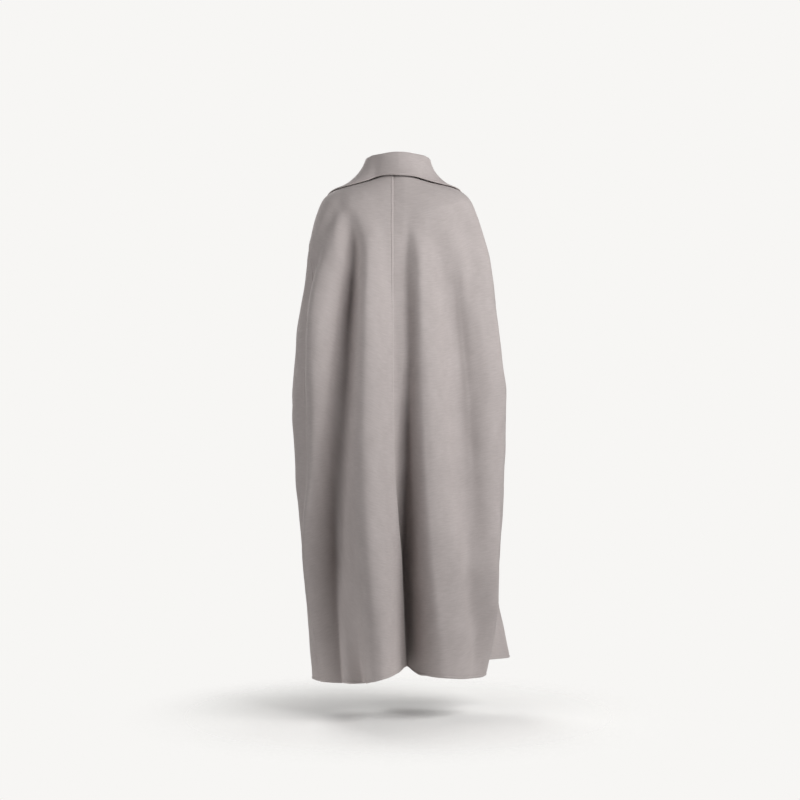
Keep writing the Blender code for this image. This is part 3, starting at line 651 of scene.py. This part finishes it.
def collar_profile(degrees):
    """One section of the collar's middle surface: up the stand, round the fold and down the leaf."""
    knots = [row.angle for row in COLLAR_LINES]
    line = CollarLine(*(float(smooth(knots, [getattr(row, name) for row in COLLAR_LINES], abs(degrees)))
                        for name in CollarLine._fields))
    side = math.copysign(1, degrees)
    angle = np.array([math.radians(degrees)])
    edge_angle = np.array([math.radians(side * line.fan)])
    edge_down = line.edge_left if side > 0 else line.edge_right
    up = np.array([0, 0, 1])

    neck = cape_points(0.0, angle, "collar")[0]
    neck_normal = cape_normals(0.0, angle, "collar")[0]
    outward_here = unit(neck_normal * (1, 1, 0))
    lean = math.hypot(*neck_normal[:2])
    # The stand clears the neckline where two cloths lap there.
    base = neck - outward_here * (WALL / 2 + lean * (1.5 * WALL + SEAM_GAP) + SEAM_GAP + NECK_EASE)
    foot = base - up * STAND_LAP
    turn_centre = neck + outward_here * line.out + up * (line.up - FOLD_RADIUS)
    edge_normal = cape_normals(edge_down, edge_angle, "collar")[0]
    edge = cape_points(edge_down, edge_angle, "collar")[0] + edge_normal * (line.lift + WALL)

    stand_top = turn_centre - outward_here * FOLD_RADIUS
    leaf_top = turn_centre + outward_here * FOLD_RADIUS
    profile = [foot + (base - foot) * step / STAND_LAP for step in EDGE_STEPS[EDGE_STEPS < STAND_LAP]]
    profile += [base + (stand_top - base) * share for share in np.linspace(0, 1, STAND_ROWS)]
    for turn in np.linspace(math.pi, 0, TURN_ROWS + 2)[1:-1]:
        profile.append(turn_centre + FOLD_RADIUS * (outward_here * math.cos(turn) + up * math.sin(turn)))
    arch = (leaf_top + edge) / 2 + unit(edge_normal + outward_here) * line.bow
    near_edge = 1 - EDGE_STEPS[::-1] / LEAF_DEPTH
    for share in np.concatenate([np.linspace(0, near_edge[0], LEAF_ROWS, endpoint=False), near_edge]):
        profile.append(leaf_top * (1 - share) ** 2 + arch * 2 * share * (1 - share) + edge * share**2)
    return profile


def height_on_shoulders(points):
    """Lowest height at which a cloth clears the cape under each point."""
    angle = np.arctan2(points[..., 0], points[..., 1]).ravel()
    reach = np.hypot(points[..., 0], points[..., 1]).ravel()
    levels = np.linspace(0, SHOULDER_DOWN, SHOULDER_LEVELS)
    rings = np.array([cape_points(down, angle, "collar") for down in levels])
    radii = np.hypot(rings[..., 0], rings[..., 1])
    lowest = []
    for spot, ring_radii, ring_heights in zip(reach, radii.T, rings[..., 2].T):
        slope = np.interp(spot, ring_radii, np.gradient(ring_heights, ring_radii))
        on_cape = np.interp(spot, ring_radii, ring_heights) + (WALL + LEAF_GAP) * math.hypot(1, slope)
        lowest.append(on_cape if spot > ring_radii[0] else -math.inf)
    return np.reshape(lowest, points.shape[:-1])


def collar_grid():
    """Middle surface of the collar as rows of points, from the foot of the stand to the leaf's edge."""
    ends = COLLAR_END + np.degrees(EDGE_STEPS / NECK_RADIUS)
    middle = np.linspace(ends[-1] - 180, 180 - ends[-1], COLLAR_COLUMNS)[1:-1]
    angles = np.concatenate([ends - 180, middle, 180 - ends[::-1]])
    points = np.array([collar_profile(degrees) for degrees in angles]).transpose(1, 0, 2)
    leaf = points[-(LEAF_ROWS + len(EDGE_STEPS)):]
    leaf[..., 2] = np.maximum(leaf[..., 2], height_on_shoulders(leaf))
    return points


piece, face = cloth_wall("collar_cloth", collar_grid(), ("first", "last", "foot"))
pieces["collar"], faces_of["collar"] = piece, face
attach(piece, "root")
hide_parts("collar")

# ----------------------------------------------------------------------------------------------------------
# The felling stitches. The turned-in edges are held by small hand stitches in wool thread of the cloth's
# colour, one every 6 mm along the groove, which sink into the nap.
THREAD = "#9d9391"
STITCH_SIZES = {"Spacing": 0.0060, "Stitch Length": 0.0021, "Thread Thickness": 0.00055}
THREAD_TWISTS, THREAD_BUMP = 1800.0, 0.0001  # twists in a metre of thread, and their height


def thread_material():
    """Two-ply wool thread: the eye gets matt dashes, a shade darker than the cloth, with a fine twist."""
    material, tree = new_material("wool_thread")
    place = add(tree, "ShaderNodeTexCoord").outputs["Object"]
    twist = add(tree, "ShaderNodeTexNoise", {"Scale": THREAD_TWISTS, "Detail": 1.0}, {"Vector": place})
    bump = add(tree, "ShaderNodeBump", {"Strength": 0.5, "Distance": THREAD_BUMP},
               {"Height": twist.outputs["Fac"]})
    shader = add(tree, "ShaderNodeBsdfPrincipled",
                 {"Base Color": linear(THREAD), "Roughness": 0.9, "Specular IOR Level": 0.12,
                  "Sheen Weight": 0.2},
                 {"Normal": bump.outputs["Normal"]})
    add(tree, "ShaderNodeOutputMaterial", links={"Surface": shader.outputs["BSDF"]})
    return material


def stitch_tree(material):
    """Geometry Nodes: one small oval of thread at even spacing along each line of a mesh."""
    tree = bpy.data.node_groups.new("felling_stitches", "GeometryNodeTree")
    tree.interface.new_socket("Geometry", in_out="INPUT", socket_type="NodeSocketGeometry")
    for name in STITCH_SIZES:
        tree.interface.new_socket(name, in_out="INPUT", socket_type="NodeSocketFloat")
    tree.interface.new_socket("Geometry", in_out="OUTPUT", socket_type="NodeSocketGeometry")
    lines = add(tree, "NodeGroupInput")
    curves = add(tree, "GeometryNodeMeshToCurve", links={"Mesh": lines.outputs["Geometry"]})
    spots = add(tree, "GeometryNodeCurveToPoints", {"mode": "LENGTH"},
                {"Curve": curves.outputs["Curve"], "Length": lines.outputs["Spacing"]})
    oval = add(tree, "GeometryNodeMeshUVSphere", {"Segments": 6, "Rings": 4, "Radius": 0.5})
    size = add(tree, "ShaderNodeCombineXYZ", links={
        "X": lines.outputs["Thread Thickness"], "Y": lines.outputs["Thread Thickness"],
        "Z": lines.outputs["Stitch Length"]})
    laid = add(tree, "GeometryNodeInstanceOnPoints", links={
        "Points": spots.outputs["Points"], "Instance": oval.outputs["Mesh"],
        "Rotation": spots.outputs["Rotation"], "Scale": size.outputs["Vector"]})
    real = add(tree, "GeometryNodeRealizeInstances", links={"Geometry": laid.outputs["Instances"]})
    coloured = add(tree, "GeometryNodeSetMaterial", {"Material": material},
                   {"Geometry": real.outputs["Geometry"]})
    add(tree, "NodeGroupOutput", links={"Geometry": coloured.outputs["Geometry"]})
    return tree


def stitch_lines(name, face):
    """The felling lines of one piece: down its first or last column and along its finished cross edge."""
    side, end = FELL_STEP, len(EDGE_STEPS) - 1
    columns = {
        "back_left": (side,), "back_right": (side,), "front_left": (-1 - side,), "front_right": (),
        "collar": (side, -1 - side),
    }[name]
    return [face[end:-side, at] for at in columns] + [face[-1 - side, side:-side]]


thread = thread_material()
stitch = stitch_tree(thread)
for name, face in faces_of.items():
    points, edges = [], []
    for line in stitch_lines(name, face):
        first = len(points)
        points += line.tolist()
        edges += [(at, at + 1) for at in range(first, len(points) - 1)]
    mesh = bpy.data.meshes.new(name + "_lines")
    mesh.from_pydata(points, edges, [])
    guide = new_object(name + "_lines", mesh)
    modifier = guide.modifiers.new("stitches", "NODES")
    modifier.node_group = stitch
    for item in stitch.interface.items_tree:
        if item.in_out == "INPUT" and item.name in STITCH_SIZES:
            modifier[item.identifier] = STITCH_SIZES[item.name]
    evaluated = guide.evaluated_get(bpy.context.evaluated_depsgraph_get())
    sewn = new_object(name + "_stitches", bpy.data.meshes.new_from_object(evaluated))
    bpy.data.objects.remove(guide)
    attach(sewn, "root")

# ----------------------------------------------------------------------------------------------------------
# The studio. A pale floor that fades into the white room, and five soft lights: a key on the back from the
# wearer's right, a weaker one from further round, a broad low fill from the left, and two on the fronts.
FLOOR_Z = -1.490  # level of the wearer's soles: the coat hangs clear of it
FLOOR_RADIUS, FLOOR_FADE = 2.0, (0.20, 0.80)  # distances from its middle at which it ends and fades out
FLOOR_COLOUR = "#f7f6f4"
ROOM_COLOUR, ROOM_LIGHT = "#f7f6f4", 0.03  # the colour that is seen, and how strongly it lights the coat
CAMERA_PLACE = (-0.004, 5.2, -0.61)
LENS, SENSOR = 83.2, 36.0  # millimetres
COAT_MIDDLE = -0.60  # height that the lights face
FLOOR_CORNERS = 96


def floor_material():
    """Matt painted floor, pale, which gives way to the white room at its edge."""
    material, tree = new_material("pale_floor")
    place = add(tree, "ShaderNodeTexCoord").outputs["Object"]
    reach = add(tree, "ShaderNodeVectorMath", {"operation": "LENGTH"}, {0: place})
    fade = add(tree, "ShaderNodeMapRange",
               {"From Min": FLOOR_FADE[0], "From Max": FLOOR_FADE[1], "interpolation_type": "SMOOTHSTEP"},
               {"Value": reach.outputs["Value"]})
    paint = add(tree, "ShaderNodeBsdfPrincipled",
                {"Base Color": linear(FLOOR_COLOUR), "Roughness": 1.0, "Specular IOR Level": 0.0})
    clear = add(tree, "ShaderNodeBsdfTransparent")
    mixed = add(tree, "ShaderNodeMixShader",
                links={0: fade.outputs[0], 1: paint.outputs[0], 2: clear.outputs[0]})
    add(tree, "ShaderNodeOutputMaterial", links={"Surface": mixed.outputs[0]})
    return material


floor_mesh = bpy.data.meshes.new("floor")
turns = np.linspace(0, 2 * math.pi, FLOOR_CORNERS + 1)[:-1]
rim_points = [(FLOOR_RADIUS * math.cos(turn), FLOOR_RADIUS * math.sin(turn), 0) for turn in turns]
floor_mesh.from_pydata(rim_points, [], [tuple(range(FLOOR_CORNERS))])
floor_mesh.materials.append(floor_material())
floor = new_object("floor", floor_mesh)
floor.location.z = FLOOR_Z

# Each light faces the middle of the coat. `turn` is its angle from the centre back to the wearer's right,
# and `rise` its angle over the horizon, both in degrees.
Light = namedtuple("Light", "name turn rise distance width height watts")
LIGHTS = (
    Light("key", 44, 24, 2.8, 1.8, 1.3, 62),
    Light("side", 71, 18, 4.5, 2.0, 2.4, 66),
    Light("fill", -60, 6, 4.2, 3.6, 2.0, 88),
    Light("front_key", 205, 30, 4.5, 2.4, 1.8, 110),
    Light("front_fill", 150, 15, 4.5, 2.0, 1.8, 40),
)
for light in LIGHTS:
    lamp = bpy.data.lights.new(light.name, "AREA")
    lamp.shape = "RECTANGLE"
    lamp.size, lamp.size_y, lamp.energy = light.width, light.height, light.watts
    holder = new_object(light.name, lamp)
    turn, rise = math.radians(light.turn), math.radians(light.rise)
    level = math.cos(rise)
    direction = np.array([-math.sin(turn) * level, math.cos(turn) * level, math.sin(rise)])
    holder.location = np.array([0, 0, COAT_MIDDLE]) + direction * light.distance
    holder.rotation_euler = (math.pi / 2 - rise, 0, turn + math.pi)
    holder.visible_camera = False

# The camera sees the room at full strength, and the coat is lit by little of it.
room = bpy.data.worlds.new("white_room")
room.use_nodes = True
tree = room.node_tree
tree.nodes.clear()
ray = add(tree, "ShaderNodeLightPath")
seen = add(tree, "ShaderNodeBackground", {"Color": linear(ROOM_COLOUR), "Strength": 1.0})
felt = add(tree, "ShaderNodeBackground", {"Color": linear(ROOM_COLOUR), "Strength": ROOM_LIGHT})
both = add(tree, "ShaderNodeMixShader",
           links={0: ray.outputs["Is Camera Ray"], 1: felt.outputs[0], 2: seen.outputs[0]})
add(tree, "ShaderNodeOutputWorld", links={"Surface": both.outputs[0]})
bpy.context.scene.world = room

# The camera looks level at the back.
view = bpy.data.cameras.new("view")
view.lens, view.sensor_width = LENS, SENSOR
camera = new_object("view", view)
camera.location = CAMERA_PLACE
camera.rotation_euler = (math.radians(90), 0, math.radians(180))
bpy.context.scene.camera = camera
bpy.context.scene.view_settings.view_transform = "Standard"
